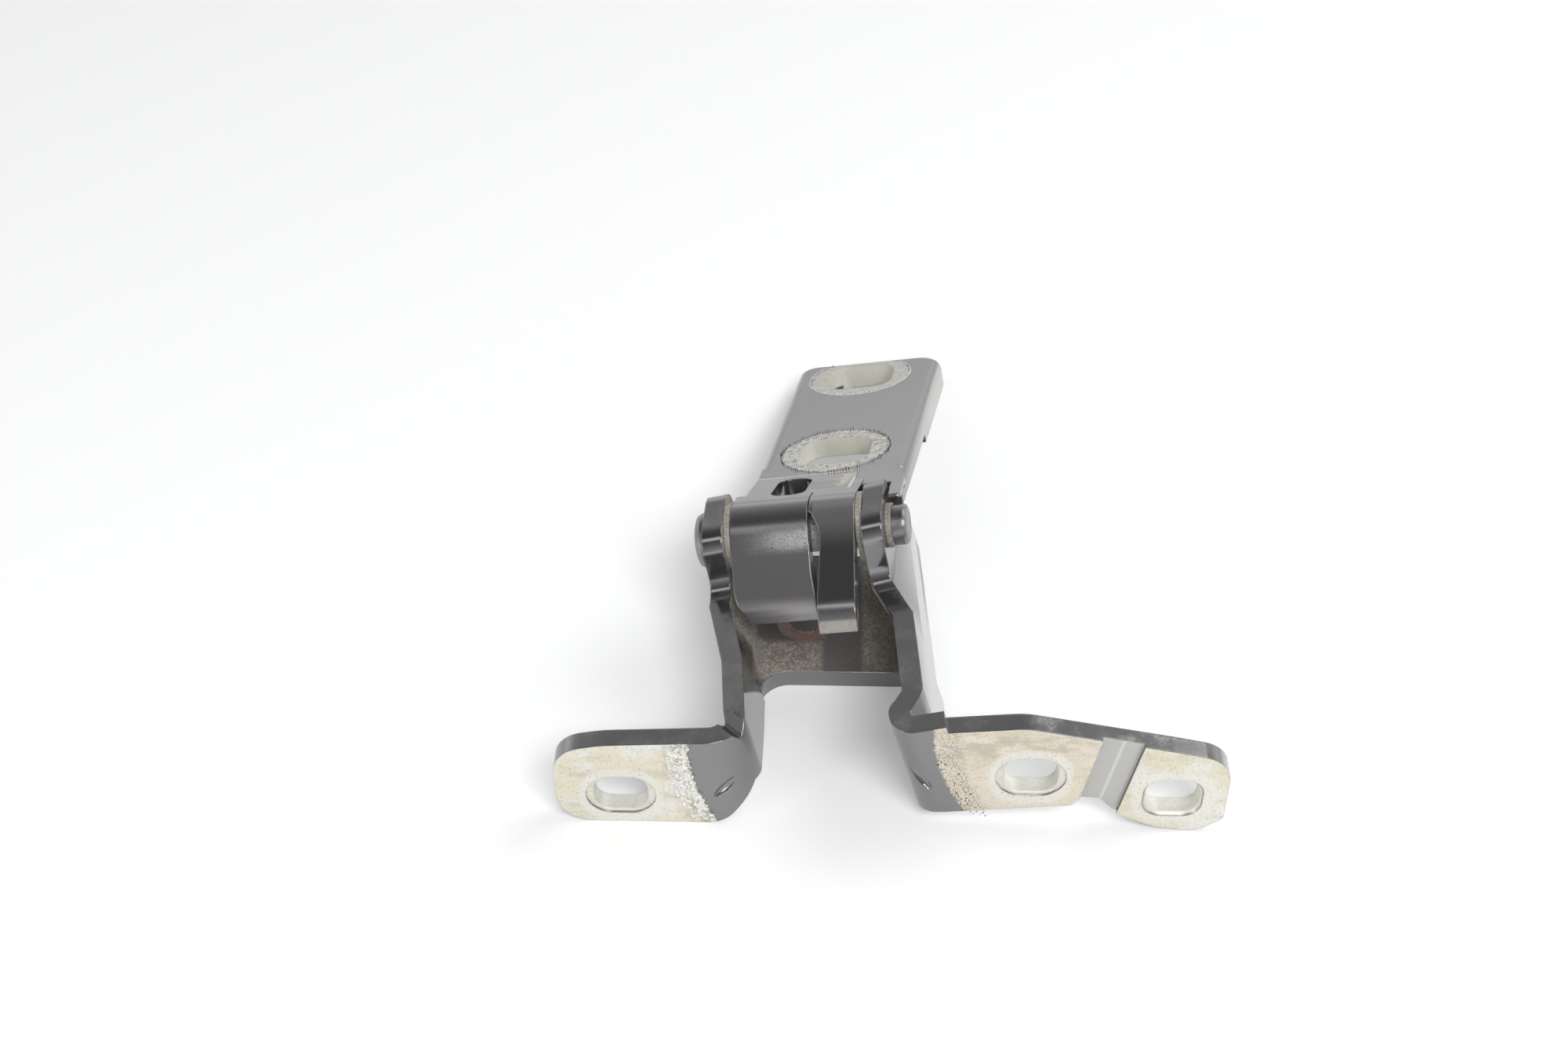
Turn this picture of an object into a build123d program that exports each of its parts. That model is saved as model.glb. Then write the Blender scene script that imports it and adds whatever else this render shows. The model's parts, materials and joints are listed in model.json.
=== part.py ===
from build123d import *
import os
from math import sin, cos, tan, radians, atan2, hypot

# Boot lid hinge, mm, +Z up. The origin is the middle of the left body slot on the
# bolt face, X runs along the two feet and Y runs back along the lid strap.

# sheet and where it rests
sheet = 5.0                 # thickness of both stampings
slot_height = 9.1           # left body slot above the plane the hinge rests on
bend_inside = 3.5           # inside radius of the bracket bends
bend_outside = bend_inside + sheet
rest_z = -slot_height
far_off = 300.0             # longer than the hinge, for cutters and for sheet not yet trimmed
poke = 1.0                  # how far a cutter starts outside the face it cuts

# pin line, from the outer face of the left ear
pin_x, pin_y, pin_z = 18.6, 62.4, 23.3
pin_tilt = 11.1             # degrees, the pin rises to the right
pin_swing = 3.9             # degrees, its right end comes forward
strap_drop = 18.1           # degrees, the strap slopes down to the back as it rests

# pin, bush and washers
shaft_radius = 4.0
running_clearance = 0.05
fixed_clearance = 0.02
head_radius = 6.8
head_thickness = 3.0
head_edge = 1.8             # how far in the head is rounded, in three steps
formed_end_radius = 4.95
formed_end_length = 3.7
formed_end_edge = 1.0
collar_radius = 5.4
collar_thickness = 1.4
bush_wall = 0.85
washer_radius = 8.8
washer_thickness = 1.5
side_play = 0.1

# ears
ear_radius = 9.8
ear_flat = 8.4              # the stamped flat on top of each ear
ear_left = 0.0              # outer face of the left ear along the pin
knuckle_left = ear_left + sheet + washer_thickness + 2 * side_play
knuckle_width = 30.5
knuckle_right = knuckle_left + knuckle_width
ear_right = knuckle_right + washer_thickness + 2 * side_play
ear_hole_radius = shaft_radius + fixed_clearance
ear_flat_reach = 10.8       # each ear is square to the pin this far round it
ear_front_left = 16.5       # and this far to the front at the left
crank_drop = 7.0            # and meets its leaning arm this far below that
crank_left = 27.0           # where each arm begins to turn to its ear, from the bolt plane
crank_right = 37.0

# arms and web
left_lean = 12.0            # degrees, tops towards the left
right_lean = 15.0
arm_swing = 4.0             # degrees, the arms come forward to the right
left_foot_line = 35.1       # inner face of the left arm where it meets the bolt plane and rest plane
right_foot_line = 73.9      # inner face of the right arm there
web_front = 45.0
web_back = 87.0
web_corner = 7.0
web_corner_right = 3.0
mouth_relief = 0.6          # the web's mouth is cut this far into each arm
channel_height = 8.5        # height the web and the roots of the arms are folded to
channel_lap = 0.5           # each arm's sheet laps into the channel by this
arm_end = web_front - web_corner + channel_lap
arm_back = 26.0             # the back edge of each arm turns this far below the pin

# bends between feet and arms
right_bend_inside = 1.0
right_joggle = 4.0          # the right bend stands in from the line of its arm
joggle_back = 8.0           # and the arm steps out again this far behind the bolt plane
joggle_slant = 1.3          # length of the step to its height
joggle_bend = 0.5
notch_width = 6.0           # V where the top edges meet at the left bend
notch_depth = 3.0
notch_top = 18.6
notch_in = 7.2              # its middle, in from the left arm's foot line
dart_length = 10.0          # dent pressed across each bend
dart_depth = 1.2
left_dart = (24.5, 0.1, 3.4)
right_dart = (69.3, 0.6, 6.5)

# feet
foot_left = -15.2
foot_right = 139.8
slot_long = 12.4
slot_high = 10.7
slot_corner = 3.8
slot_edge = 0.8
seat_long = 16.3            # shallow seat the bolt heads leave round two of the slots
seat_high = 11.9
seat_depth = 0.5
left_slot = (0.0, 0.0)
right_slot = (94.3, 8.3)
outer_slot = (127.3, 2.1)
groove_depth = 1.2

# lid strap, measured from the pin along the strap
strap_left = 8.2
strap_right = 48.8
strap_taper = 2.4           # the right edge comes in towards the pin
strap_end = 107.2
strap_start = 12.2
strap_top = 5.1
strap_depth = 7.2
strap_round = 2.6
strap_corner_left = 5.0
strap_corner_right = 7.0
flange_corner = 2.5
flange_start = 58.0         # the right edge is turned down from here back
step_line = 24.6
step_bend = 6.0
lid_slot_wide = 18.5
lid_slot_long = 17.5
lid_slot_corner = 5.5
lid_slot_x = 26.7
lid_slot_near = 39.5
lid_slot_pitch = 54.5
pad_left = 34.6
pad_back = 24.9
pad_front = 3.5             # the pad runs on over the right hook and beside the right ear
pad_over = 1.0              # and past the strap's right edge
pad_rise = 1.4
pad_lip = 0.95              # its thickness beside the ear
pad_round = 0.6
pad_gap = 0.4               # between the pad and the ear

# knuckle
bush_radius = shaft_radius + running_clearance + bush_wall
hook_sheet = 4.0
hook_radius = bush_radius + hook_sheet
hook_lap = 6.0              # each hook's sheet runs this far back under the plate
hook_trim = 9.0             # behind this the left hook is trimmed to the strap's width
hook_inset = 0.7
seam = knuckle_left + 19.2
seam_width = 0.3
seam_front = 20.0
slit = 2.9                  # widest part of the slit between the hooks
slit_top = 8.5              # above the pin, where it opens
tongue_drift = 0.6          # the left tongue's edge drifts over to close the slit
tongue_gap = 2.1            # the right tongue runs down this far from the seam
window_wide = 8.6
window_long = 16.5
window_corner = 3.4
window_x = 19.4
window_near = 12.7
left_slope = 44.0           # degrees each tongue slopes down to the front
left_tongue = 17.8          # straight length of each tongue before it curls
right_slope = 25.0
right_tongue = 25.9
curl_inside = 4.0
curl_lip = 4.6
curl_lean = 0.2             # the lip still runs forward by this part of its length
tongue_tip = 2.6            # rounding of the left tongue's outer corner

corner_min = (Align.MIN, Align.MIN, Align.MIN)


def rounded_face(corners):
    """Face in the XY plane from (x, y, radius) corners."""
    count = len(corners)
    starts, ends, mids = [], [], []
    for i, (x, y, r) in enumerate(corners):
        ax, ay = corners[i - 1][0] - x, corners[i - 1][1] - y
        bx, by = corners[(i + 1) % count][0] - x, corners[(i + 1) % count][1] - y
        la, lb = hypot(ax, ay), hypot(bx, by)
        ax, ay, bx, by = ax / la, ay / la, bx / lb, by / lb
        if r == 0:
            starts.append((x, y))
            ends.append((x, y))
            mids.append(None)
            continue
        half = abs(atan2(ax * by - ay * bx, ax * bx + ay * by)) / 2
        reach = r / tan(half)
        mx, my = ax + bx, ay + by
        lm = hypot(mx, my)
        centre = (x + mx / lm * r / sin(half), y + my / lm * r / sin(half))
        starts.append((x + ax * reach, y + ay * reach))
        ends.append((x + bx * reach, y + by * reach))
        mids.append((centre[0] - mx / lm * r, centre[1] - my / lm * r))
    edges = []
    for i in range(count):
        if mids[i]:
            edges.append(ThreePointArc(starts[i], mids[i], ends[i]))
        following = starts[(i + 1) % count]
        if hypot(following[0] - ends[i][0], following[1] - ends[i][1]) > 1e-4:
            edges.append(Line(ends[i], following))
    return make_face(edges)


def sheet_path(points, thickness, side=1):
    """Corners of a bent sheet whose one face runs along points (x, y, inside radius)."""
    near, far = [], []
    last = len(points) - 1
    for i, (x, y, r) in enumerate(points):
        dirs = []
        if i > 0:
            dirs.append((x - points[i - 1][0], y - points[i - 1][1]))
        if i < last:
            dirs.append((points[i + 1][0] - x, points[i + 1][1] - y))
        dirs = [(a / hypot(a, b), b / hypot(a, b)) for a, b in dirs]
        nx, ny = -dirs[0][1] * side, dirs[0][0] * side
        if len(dirs) == 1:
            near.append((x, y, 0))
            far.append((x + nx * thickness, y + ny * thickness, 0))
            continue
        turn = atan2(dirs[0][0] * dirs[1][1] - dirs[0][1] * dirs[1][0],
                     dirs[0][0] * dirs[1][0] + dirs[0][1] * dirs[1][1])
        slide = -thickness * tan(turn / 2) * side
        inside = turn * side > 0
        near.append((x, y, r + thickness if inside else r))
        far.append((x + nx * thickness + dirs[0][0] * slide,
                    y + ny * thickness + dirs[0][1] * slide, r if inside else r + thickness))
    return rounded_face(near + far[::-1])


# the pin plane: X along the pin, Y level and back, Z up between the ears
pin_along = Vector(cos(radians(pin_tilt)) * cos(radians(pin_swing)),
                   -cos(radians(pin_tilt)) * sin(radians(pin_swing)), sin(radians(pin_tilt)))
pin_back = Vector(sin(radians(pin_swing)), cos(radians(pin_swing)), 0)
pin_up = pin_along.cross(pin_back)
pin_place = Plane(origin=(pin_x, pin_y, pin_z), x_dir=pin_along, z_dir=pin_up).location
strap_place = pin_place * Location((0, 0, 0), (-strap_drop, 0, 0))

arms_back = Vector(-sin(radians(arm_swing)), cos(radians(arm_swing)), 0)


class Arm:
    """Side of the bracket: where it stands, how it leans and its sheet."""

    def __init__(self, side, foot_line, lean, ear_at, foot_top, boss_top, foot_bottom, knee):
        self.side = side
        self.lean = radians(lean)
        self.foot_line = foot_line
        self.ear_at = ear_at
        self.foot_top, self.boss_top, self.foot_bottom, self.knee = foot_top, boss_top, foot_bottom, knee
        left = side < 0
        self.crank_front = crank_left if left else crank_right
        self.ear_front = ear_front_left if left else ear_flat_reach
        self.joggle = 0.0 if left else right_joggle
        self.bend_inside = bend_inside if left else right_bend_inside
        swing = radians(arm_swing)
        self.out = Vector(cos(self.lean) * cos(swing), cos(self.lean) * sin(swing), sin(self.lean))
        self.plane = Plane(origin=(foot_line, 0, rest_z), x_dir=arms_back, z_dir=self.out)
        self.inner = -sheet if left else 0.0
        eye = self.plane.to_local_coords(ear_centre(ear_at + sheet / 2))
        self.eye = (eye.X, eye.Y)


def along_pin(face, start, length):
    """Extrude a face drawn as (back, up) along the pin."""
    return pin_place * (Location((start, 0, 0)) * extrude(Plane.YZ.location * face, length))


def pin_disc(radius, start, length):
    return pin_place * (Location((start, 0, 0), (0, 90, 0)) * Cylinder(
        radius, length, align=(Align.CENTER, Align.CENTER, Align.MIN)))


def ear_centre(start):
    return Vector(pin_x, pin_y, pin_z) + pin_along * start


def arm_outline(arm):
    """Side view of one arm, round the ear and down to the web."""
    back = web_back / cos(radians(arm_swing))
    r = ear_radius
    px, py = arm.eye
    return rounded_face([
        (-25, arm.foot_bottom + 4, 0), (2, arm.foot_bottom, 12), (arm.knee[0], arm.knee[1], 12),
        (web_front - 2, -0.5, 0), (back, -1, 0),
        (back, py - arm_back, 4), (px + r + 1.0, py - 9, 8), (px + r - 0.3, py + ear_flat, 5.5),
        (px - r + 0.4, py + ear_flat, 5.5), (px - r - 0.6, arm.boss_top, 4.5), (0, arm.foot_top, 0),
        (-25, arm.foot_top, 0)])


def arm_prism(arm, before, after):
    """The arm's side view, through its sheet and this far beyond each face."""
    low = arm.inner - before
    return arm.plane.location * (Location((0, 0, low)) * extrude(arm_outline(arm), sheet + before + after))


def arm_section(arm):
    """Plan section across one bend: the foot along X and the arm going back."""
    drift = tan(radians(arm_swing)) * cos(arm.lean)
    path = [(far_off * arm.side, 0, 0), (-arm.joggle * arm.side, 0, arm.bend_inside)]
    if arm.joggle:
        back = joggle_back + joggle_slant * arm.joggle
        path += [(-arm.joggle * arm.side, joggle_back, joggle_bend), (-drift * back, back, joggle_bend)]
    return sheet_path(path + [(-drift * arm_end, arm_end, 0)], sheet, -arm.side)


def bend_place(arm):
    """Across the bend: X along the foot, Y back, Z up the leaning bend line."""
    lean = atan2(arm.out.Z, arm.out.X)
    return Plane(origin=(arm.foot_line, 0, rest_z), x_dir=(cos(lean), 0, sin(lean)),
                 z_dir=(-sin(lean), 0, cos(lean))).location


def facing(shape, depth=0.0):
    """Place a flat shape on the bolt plane, or this deep behind it."""
    return Plane(origin=(0, depth, 0), x_dir=(1, 0, 0), z_dir=(0, -1, 0)).location * shape


def foot_slots():
    """Square slots with rounded corners and broken edges, two of them in a worn seat."""
    mouth = RectangleRounded(slot_long + 2 * slot_edge, slot_high + 2 * slot_edge, slot_corner + slot_edge)
    floor = RectangleRounded(slot_long, slot_high, slot_corner)
    plain = extrude(facing(floor, -poke), -(sheet + 2 * poke)) + loft([facing(mouth), facing(floor, slot_edge)])
    seated = extrude(facing(SlotOverall(seat_long, seat_high), -poke), -(poke + seat_depth)) + plain
    return [Location((x, 0, z)) * shape for (x, z), shape in
            ((left_slot, seated), (right_slot, seated), (outer_slot, plain))]


def foot_prism(outline):
    return extrude(Plane.XZ.location * outline, -(bend_outside + 1.5))


def left_foot_outline():
    return rounded_face([(foot_left, rest_z, 9), (23.4, rest_z, 8), (31.0, 0.8, 14), (33.6, 10, 0), (60, 19.6, 0),
                         (24.5, 18.2, 0), (-4.0, 16.6, 30), (foot_left, 14.2, 8)])


def right_foot_outline():
    return rounded_face([(40, -4.6, 0), (75, -4.0, 0), (104.2, -0.9, 0), (105.6, 0.9, 1), (110.6, 0.6, 1.5),
                         (113.8, -2.9, 0), (123, -7.8, 9), (133, rest_z, 6), (foot_right, -5.0, 3),
                         (foot_right, 14.4, 8), (126.3, 17.5, 40), (92.3, 24.4, 18), (71.3, 22.3, 0), (40, 22.0, 0)])


def on_arm(arm, y, z, depth):
    """Point of one arm's sheet at a given y and z."""
    out = arm.out
    x = arm.foot_line + (arm.inner + depth - out.Y * y - out.Z * (z - rest_z)) / out.X
    return Vector(x, y, z)


def on_ear(arm, y, z, depth):
    """Point of one ear's sheet at a given y and z."""
    along = pin_along
    x = pin_x + (arm.ear_at + depth - along.Y * (y - pin_y) - along.Z * (z - pin_z)) / along.X
    return Vector(x, y, z)


def ear_wall(arm):
    """Upright sheet that turns from the leaning arm to the ear and back."""
    eye = ear_centre(arm.ear_at + sheet / 2)
    levels = [(rest_z + channel_height - channel_lap, on_arm), (eye.Z - ear_flat_reach - crank_drop, on_arm),
              (eye.Z - ear_flat_reach, on_ear), (eye.Z + ear_radius + 4.2, on_ear)]
    sections = []
    for y, square in ((arm.crank_front, False), (eye.Y - arm.ear_front, True),
                      (eye.Y + ear_flat_reach, True), (web_back + poke, False)):
        left = [(place if square else on_arm)(arm, y, z, 0) for z, place in levels]
        right = [(place if square else on_arm)(arm, y, z, sheet) for z, place in levels]
        sections.append(Wire.make_polygon(left + right[::-1], close=True))
    return Solid.make_loft(sections, ruled=True)


def channel(left, right):
    """The web and the two arms above it, one folded section."""
    swing = radians(arm_swing)
    gap = (right.foot_line - left.foot_line) * cos(swing)
    tall = 4 * sheet
    inside = [(-tan(left.lean) * tall, tall, 0), (-tan(left.lean) * sheet, sheet, bend_inside),
              (gap - tan(right.lean) * sheet, sheet, bend_inside), (gap - tan(right.lean) * tall, tall, 0)]
    section = sheet_path(inside, sheet, -1)
    place = Plane(origin=(left.foot_line, 0, rest_z), x_dir=(cos(swing), sin(swing), 0), z_dir=-arms_back).location
    first = (web_front - web_corner) / cos(swing)
    folded = place * (Location((0, 0, -first)) * extrude(section, -(web_back + 8 - first)))
    drift = tan(swing) * web_front
    left_edge = left.foot_line - tan(left.lean) * sheet - drift + mouth_relief
    right_edge = right.foot_line - tan(right.lean) * sheet - drift - mouth_relief
    mouth = rounded_face([(left_edge, 0, 0), (right_edge, 0, 0), (right_edge, web_front, web_corner_right),
                          (left_edge, web_front, web_corner)])
    mouth = Location((0, 0, rest_z - poke)) * extrude(mouth, sheet + bend_inside + poke)
    behind = Location((0, web_back, rest_z)) * Box(
        far_off, far_off, far_off, align=(Align.CENTER, Align.MIN, Align.CENTER))
    return folded - mouth - behind


def slab(thickness):
    """Everything between the plane the hinge rests on and this far above it."""
    return Location((0, 0, rest_z)) * Box(
        2 * far_off, 2 * far_off, thickness, align=(Align.CENTER, Align.CENTER, Align.MIN))


def arm_strip(arm):
    """Sheet of one foot, its bend and the arm up to the crank, before its outline is cut."""
    strip = bend_place(arm) * (Location((0, 0, -far_off / 2)) * extrude(arm_section(arm), far_off))
    return strip - Location((0, arm.crank_front + channel_lap, rest_z + channel_height)) * Box(
        far_off, far_off, far_off, align=(Align.CENTER, Align.MIN, Align.MIN))


def bend_notch():
    """Cutter for the V between the top edges of the left foot and arm."""
    half = notch_width / 2
    face = rounded_face([(-half, 0, 0), (0, -notch_depth, 0.8), (half, 0, 0), (half, 9, 0), (-half, 9, 0)])
    corner = Plane(origin=(left_foot_line - notch_in, 4, notch_top), x_dir=(-1, -1, 0), z_dir=(-1, 1, 0)).location
    return corner * extrude(face, 9, both=True)


def bend_dart(spot, turn, slope):
    """Spindle cutter that dents a bend at a spot, turned in plan and sloping along it."""
    half = dart_length / 2
    side_view = make_face([ThreePointArc((-half, 0), (0, dart_depth), (half, 0)), Line((half, 0), (-half, 0))])
    return Location(spot, (0, 0, turn)) * (Location((0, 0, 0), (0, slope, 0)) * revolve(side_view, Axis.X))


def coined_groove():
    """Slanted groove pressed into the front of the right foot."""
    band = rounded_face([(104.6, -6, 0), (114.4, -6, 0), (120.4, 24, 0), (110.3, 24, 0)])
    return extrude(facing(band, -poke), -(poke + groove_depth))


def body_bracket():
    """Feet, arms, ears and web from one sheet."""
    left = Arm(-1, left_foot_line, left_lean, ear_left, foot_top=28.3, boss_top=28.0, foot_bottom=12.0, knee=(24, 4.6))
    right = Arm(1, right_foot_line, right_lean, ear_right, foot_top=32.4, boss_top=34.0, foot_bottom=4.6, knee=(18, 0))
    bracket = channel(left, right) & slab(channel_height)
    for arm, foot in ((left, left_foot_outline()), (right, right_foot_outline())):
        wall = arm_strip(arm) & (arm_prism(arm, 8, 4) + foot_prism(foot))
        wall = wall + (ear_wall(arm) & arm_prism(arm, 14, 14))
        bracket = bracket + (wall - pin_disc(ear_hole_radius, arm.ear_at - sheet, 3 * sheet))
    bracket = bracket - foot_slots() - coined_groove() - bend_notch()
    bracket = bracket - bend_dart(left_dart, 5, -50) - bend_dart(right_dart, -25, 46)
    return bracket & slab(far_off)


def hinge_pin():
    """Rivet with a domed head at the left and a formed end at the right."""
    head_at = ear_left - head_thickness
    end_at = ear_right + sheet + collar_thickness
    tip = end_at + formed_end_length
    profile = rounded_face([(head_at, 0, 0), (head_at, head_radius - head_edge, 0),
                            (head_at + 0.5, head_radius - 0.6, 0), (head_at + 1.6, head_radius, 0),
                            (ear_left, head_radius, 0), (ear_left, shaft_radius, 0),
                            (end_at, shaft_radius, 0), (end_at, formed_end_radius, 0),
                            (tip - 0.9, formed_end_radius, 0), (tip - 0.25, formed_end_radius - 0.3, 0),
                            (tip, formed_end_radius - formed_end_edge, 0), (tip, 0, 0)])
    return pin_place * revolve(profile, Axis.X)


def washer(start, thickness, outer):
    bore = pin_disc(shaft_radius + running_clearance, start - poke, thickness + 2 * poke)
    return pin_disc(outer, start, thickness) - bore


def pivot_bush():
    return washer(knuckle_left, knuckle_width, bush_radius)


def strap_point(along, up):
    """A point in the strap's own section, as (back, up) at the pin."""
    drop = radians(strap_drop)
    return along * cos(drop) + up * sin(drop), -along * sin(drop) + up * cos(drop)


def hook_face(slope, tongue):
    """Section of one hook, from the strap over the bush to the curled lip."""
    behind = strap_point(step_line + hook_lap, strap_top)
    step = strap_point(step_line, strap_top)
    tangent = (hypot(*step) ** 2 - hook_radius ** 2) ** 0.5
    over = atan2(step[1], step[0]) + atan2(tangent, hook_radius)
    down = radians(90 + slope)
    split = (down - over) / 2
    reach = hook_radius / cos(split)
    crown = (reach * cos(over + split), reach * sin(over + split))
    start = (hook_radius * cos(down), hook_radius * sin(down))
    bend = (start[0] - cos(radians(slope)) * tongue, start[1] - sin(radians(slope)) * tongue)
    lip = (bend[0] - curl_lip * curl_lean, bend[1] - curl_lip)
    return sheet_path([(behind[0], behind[1], 0), (step[0], step[1], step_bend), (crown[0], crown[1], bush_radius),
                       (bend[0], bend[1], curl_inside), (lip[0], lip[1], 0)], hook_sheet, 1)


def in_strap(shape):
    return strap_place * shape


def strap_box(left, right, near, far, low, high):
    return Location((left, near, low)) * Box(right - left, far - near, high - low, align=corner_min)


def pin_box(left, right, near, far, low, high):
    return pin_place * strap_box(left, right, near, far, low, high)


def strap_plate():
    """Plate with its edges turned down, open along the pin side."""
    wide_right = strap_right - strap_taper
    outline = rounded_face([(strap_left, strap_start, 0), (wide_right, strap_start, 0),
                            (strap_right, strap_end, strap_corner_right), (strap_left, strap_end, strap_corner_left)])
    low = strap_top - strap_depth
    under = strap_top - sheet
    block = Location((0, 0, low)) * extrude(outline, strap_depth)
    top_edges = [e for e in block.edges() if abs(e.center().Z - strap_top) < 0.01 and e.center().Y > strap_start + 1]
    block = fillet(top_edges, strap_round)
    hollow = rounded_face([(strap_left + sheet, 0, 0), (wide_right - sheet, 0, 0),
                           (strap_right - sheet, strap_end - sheet, flange_corner),
                           (strap_left + sheet, strap_end - sheet, flange_corner)])
    block -= Location((0, 0, low - poke)) * extrude(hollow, strap_depth - sheet + poke)
    block -= strap_box(0, pad_left, 0, step_line, -far_off, far_off)
    block -= strap_box(wide_right - sheet, strap_right + poke, 0, flange_start, -far_off, under)
    return block


def lid_slots():
    """The two rounded square slots for the lid's bolts."""
    face = RectangleRounded(lid_slot_wide, lid_slot_long, lid_slot_corner)
    return [Location((lid_slot_x, along, strap_top - sheet - poke)) * extrude(face, sheet + 2 * poke)
            for along in (lid_slot_near, lid_slot_near + lid_slot_pitch)]


def raised_pad():
    """Raised part of the plate, over the right hook, behind the ear and thin beside it."""
    right = strap_right - strap_taper + pad_over
    top = strap_top + pad_rise
    ear_end = ear_right + sheet
    outline = rounded_face([(pad_left, pad_front, 2), (right, pad_front, 1), (right, 14, 6),
                            (right - 2.6, pad_back, 3), (pad_left, pad_back, 2.5)])
    pad = Location((0, 0, top - pad_lip - poke)) * extrude(outline, pad_lip + poke)
    pad = fillet([e for e in pad.edges() if abs(e.center().Z - top) < 0.01], pad_round)
    pad -= strap_box(ear_end, far_off, 0, strap_start - 0.1, -far_off, top - pad_lip)
    pad -= strap_box(knuckle_right, ear_end + pad_gap, 0, strap_start - pad_gap, -far_off, far_off)
    return pad


def from_front(shape):
    """Cutter drawn as (along the pin, up), from the middle of the pin to the front."""
    return pin_place * (Location((0, 1, 0)) * extrude(Plane.XZ.location * shape, 60))


def left_of_slit():
    """Trims the left tongue, whose edge drifts over to close the slit at its end."""
    return from_front(rounded_face([(seam, slit_top, 0), (seam + slit, slit_top, 0), (seam + slit, -40, 0),
                                    (seam + tongue_drift, -40, 0), (seam + tongue_drift, -4.5, 8), (seam, -0.5, 8)]))


def right_of_slit():
    """Trims the right tongue, whose edge swings out from the seam and runs down."""
    edge = seam + tongue_gap
    return from_front(rounded_face([(seam - 1, slit_top, 0), (seam + 0.7, slit_top, 1), (seam + slit, 6.4, 2.5),
                                    (seam + slit, 4.4, 8), (edge, -2, 0), (edge, -40, 0), (seam - 1, -40, 0)]))


def tongue_corner():
    """Cutter that rounds the outer corner at the end of the left tongue."""
    edge = knuckle_left
    tip = edge + tongue_tip
    return from_front(rounded_face([(edge - 1, -3, 0), (edge, -3, 0), (edge + 0.7, -5.8, 6), (tip, -8.6, 0),
                                    (tip, -40, 0), (edge - 1, -40, 0)]))


def left_hook():
    """Wide hook, with a window behind the bush and its end trimmed."""
    hook = along_pin(hook_face(left_slope, left_tongue), knuckle_left, seam + tongue_drift - knuckle_left)
    window = RectangleRounded(window_wide, window_long, window_corner)
    hook -= in_strap(Location((window_x, window_near, -6)) * extrude(window, 20))
    hook -= pin_box(knuckle_left - poke, strap_left + hook_inset, hook_trim, far_off, -far_off, far_off)
    return hook - (tongue_corner() + left_of_slit())


def right_hook():
    hook = along_pin(hook_face(right_slope, right_tongue), seam, knuckle_right - seam)
    return hook - right_of_slit()


def lid_strap():
    """Plate, pad and the two hooks over the bush, from one sheet."""
    flat = strap_plate() + raised_pad()
    strap = in_strap(flat) + left_hook() + right_hook()
    strap -= pin_box(seam - seam_width / 2, seam + seam_width / 2, -seam_front, 7, 4, 16)
    return strap - [in_strap(slot) for slot in lid_slots()]


if __name__ == "__main__":
    os.makedirs("parts", exist_ok=True)
    nodes = {
        "body_bracket": body_bracket(),
        "lid_strap": lid_strap(),
        "hinge_pin": hinge_pin(),
        "pivot_bush": pivot_bush(),
        "washer_left": washer(ear_left + sheet + side_play, washer_thickness, washer_radius),
        "washer_right": washer(knuckle_right + side_play, washer_thickness, washer_radius),
        "end_collar": washer(ear_right + sheet, collar_thickness, collar_radius),
    }
    for name, shape in nodes.items():
        export_step(shape, f"parts/{name}.step")
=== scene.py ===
import json
import math

import bpy
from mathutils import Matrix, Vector


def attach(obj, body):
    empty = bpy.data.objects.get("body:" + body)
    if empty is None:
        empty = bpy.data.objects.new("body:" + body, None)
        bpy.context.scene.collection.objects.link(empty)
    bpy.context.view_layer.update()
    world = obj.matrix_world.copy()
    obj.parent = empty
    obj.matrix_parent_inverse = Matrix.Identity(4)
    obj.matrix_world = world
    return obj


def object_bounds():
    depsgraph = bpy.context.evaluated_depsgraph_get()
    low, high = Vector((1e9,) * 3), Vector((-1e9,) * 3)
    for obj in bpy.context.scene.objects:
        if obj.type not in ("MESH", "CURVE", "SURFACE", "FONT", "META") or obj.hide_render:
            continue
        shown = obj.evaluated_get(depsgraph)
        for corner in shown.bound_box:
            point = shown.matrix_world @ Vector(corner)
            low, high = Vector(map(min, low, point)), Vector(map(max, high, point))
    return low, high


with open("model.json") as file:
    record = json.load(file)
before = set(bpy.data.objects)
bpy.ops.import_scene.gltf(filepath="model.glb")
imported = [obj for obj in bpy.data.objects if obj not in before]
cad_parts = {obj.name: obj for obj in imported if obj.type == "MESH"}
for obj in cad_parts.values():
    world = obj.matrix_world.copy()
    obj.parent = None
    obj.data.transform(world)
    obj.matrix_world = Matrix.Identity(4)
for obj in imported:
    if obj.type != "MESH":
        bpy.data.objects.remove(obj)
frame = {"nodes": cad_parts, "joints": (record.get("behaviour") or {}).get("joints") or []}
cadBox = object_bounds()
scene = bpy.context.scene
print("frame loaded")

# The pin line and the strap's own directions, worked out from the joint, in metres.
# "along" runs with the pin, "back" down the strap and "out" off its top face.
joint = frame["joints"][0]
strapDrop = math.radians(18.1)
pinPoint = Vector((0.0186, 0.0624, 0.0233))
pinAlong = Vector(joint["axis"]).normalized()
pinLevel = Vector((0, 0, 1)).cross(pinAlong).normalized()
pinUp = pinAlong.cross(pinLevel)
strapBack = pinLevel * math.cos(strapDrop) - pinUp * math.sin(strapDrop)
strapOut = pinLevel * math.sin(strapDrop) + pinUp * math.cos(strapDrop)


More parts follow.
